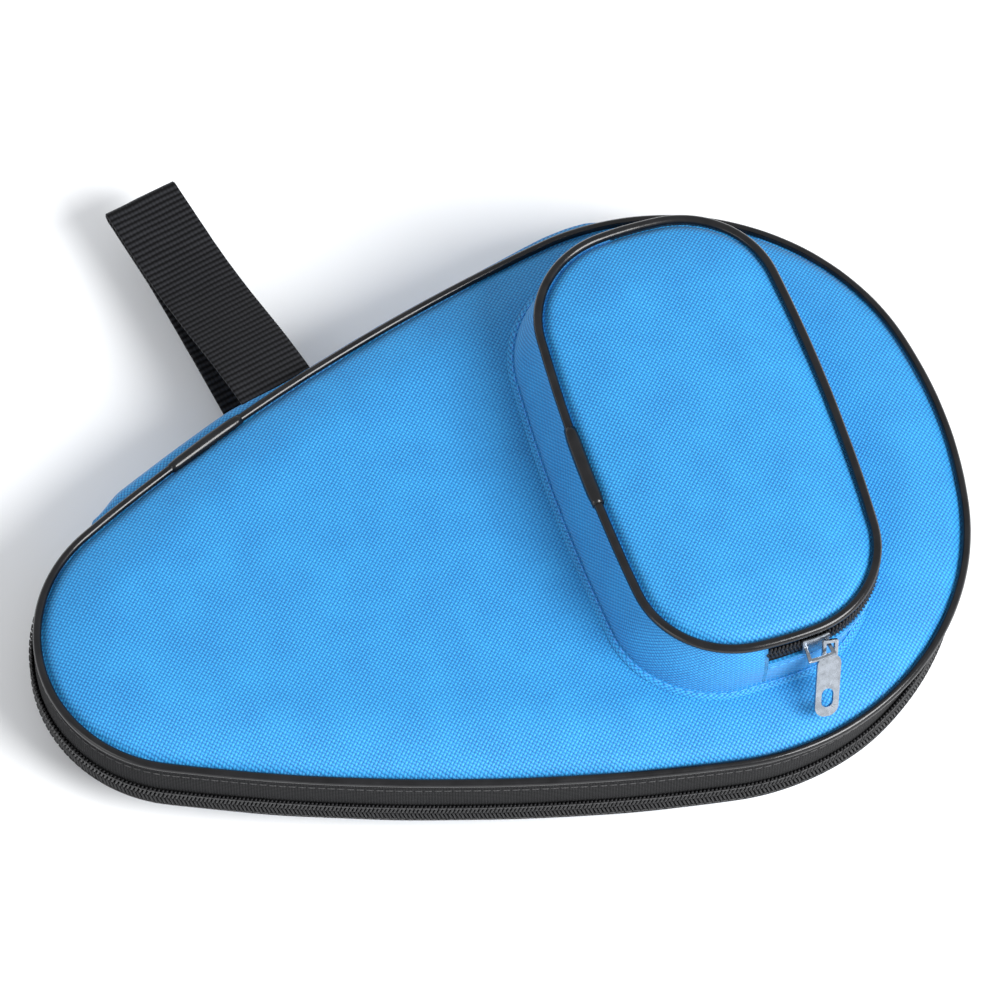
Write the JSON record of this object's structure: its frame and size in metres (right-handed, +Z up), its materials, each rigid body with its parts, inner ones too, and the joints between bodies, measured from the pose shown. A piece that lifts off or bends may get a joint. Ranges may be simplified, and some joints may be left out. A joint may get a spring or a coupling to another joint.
{
  "type": "table tennis paddle case",
  "caption": "Soft gourd-shaped zipped case for one table tennis paddle, with a raised zipped ball pocket on its lid, piped edges and a webbing carrying loop.",
  "frame": {"origin": "middle of the case's length and width, on the back face that it lies on", "axes": "+X along the case to its wide blade end, +Y across it to the hinge gusset and carrying loop, +Z up from the back face to the lid and pocket"},
  "size_m": [0.2984, 0.2674, 0.0737],
  "materials": {
    "blue_fabric": "600D polyester oxford cloth, satin",
    "foam": "soft foam sheet",
    "lining": "thin woven lining, matte",
    "piping": "glossy soft PVC",
    "binding": "woven tape",
    "zip_tape": "woven zip tape, matte",
    "zip_coil": "nylon coil, satin",
    "webbing": "ribbed polypropylene webbing",
    "slider_black": "black enamel",
    "slider_metal": "nickel plated"
  },
  "bodies": {
    "back_shell": {"back_panel": "blue_fabric", "back_foam": "foam", "back_lining": "lining", "back_piping": "piping", "back_piping_splice": "piping", "back_seam_binding": "binding", "back_zip_tape": "zip_tape", "back_zip_coil": "zip_coil", "hinge_gusset": "blue_fabric", "handle_sewn_ends": "webbing"},
    "front_shell": {"front_panel": "blue_fabric", "front_foam": "foam", "front_lining": "lining", "front_piping": "piping", "front_piping_splice": "piping", "front_seam_binding": "binding", "front_zip_tape": "zip_tape", "front_zip_coil": "zip_coil", "pocket_wall": "blue_fabric", "pocket_base_hem": "blue_fabric", "pocket_lower_zip_tape": "zip_tape", "pocket_lower_zip_coil": "zip_coil", "pocket_top_fixed": "blue_fabric", "pocket_piping_fixed": "piping", "pocket_piping_splice": "piping"},
    "pocket_flap": {"pocket_top_flap": "blue_fabric", "pocket_piping_flap": "piping", "pocket_upper_zip_tape": "zip_tape", "pocket_upper_zip_coil": "zip_coil"},
    "handle": {"handle_loop": "webbing"},
    "main_slider": {"main_slider_body": "slider_black"},
    "main_pull": {"main_pull_tab": "slider_metal"},
    "pocket_slider": {"pocket_slider_body": "slider_metal"},
    "pocket_pull": {"pocket_pull_tab": "slider_metal"}
  },
  "joints": [
    {"name": "lid_hinge", "type": "hinge", "parent": "back_shell", "child": "front_shell", "pos_m": [-0.01677, 0.08226, 0.039], "axis": [-0.9619, -0.2734, 0], "range_deg": [0, 130]},
    {"name": "handle_swing", "type": "hinge", "parent": "back_shell", "child": "handle", "pos_m": [-0.04711, 0.07303, 0.021], "axis": [0.9781, 0.2079, 0], "range_deg": [-12, 34], "stiffness_Nm_per_rad": 0.06},
    {"name": "main_slider_travel", "type": "hinge", "parent": "back_shell", "child": "main_slider", "pos_m": [0.06184, 0.01393, 0.021], "axis": [0, 0, -1], "range_deg": [0, 64]},
    {"name": "main_pull_swing", "type": "hinge", "parent": "main_slider", "child": "main_pull", "pos_m": [0.0765, 0.10156, 0.021], "axis": [0, 0, 1], "range_deg": [0, 144]},
    {"name": "pocket_flap_hinge", "type": "hinge", "parent": "front_shell", "child": "pocket_flap", "pos_m": [0.063, 0, 0.0734], "axis": [0, -1, 0], "range_deg": [0, 75]},
    {"name": "pocket_slider_travel", "type": "hinge", "parent": "front_shell", "child": "pocket_slider", "pos_m": [0.07624, -0.04472, 0.066], "axis": [0, 0, 1], "range_deg": [0, 70]},
    {"name": "pocket_pull_swing", "type": "hinge", "parent": "pocket_slider", "child": "pocket_pull", "pos_m": [0.08181, -0.07999, 0.066], "axis": [0.1322, -0.8377, 0.5299], "range_deg": [-17, 78]}
  ]
}
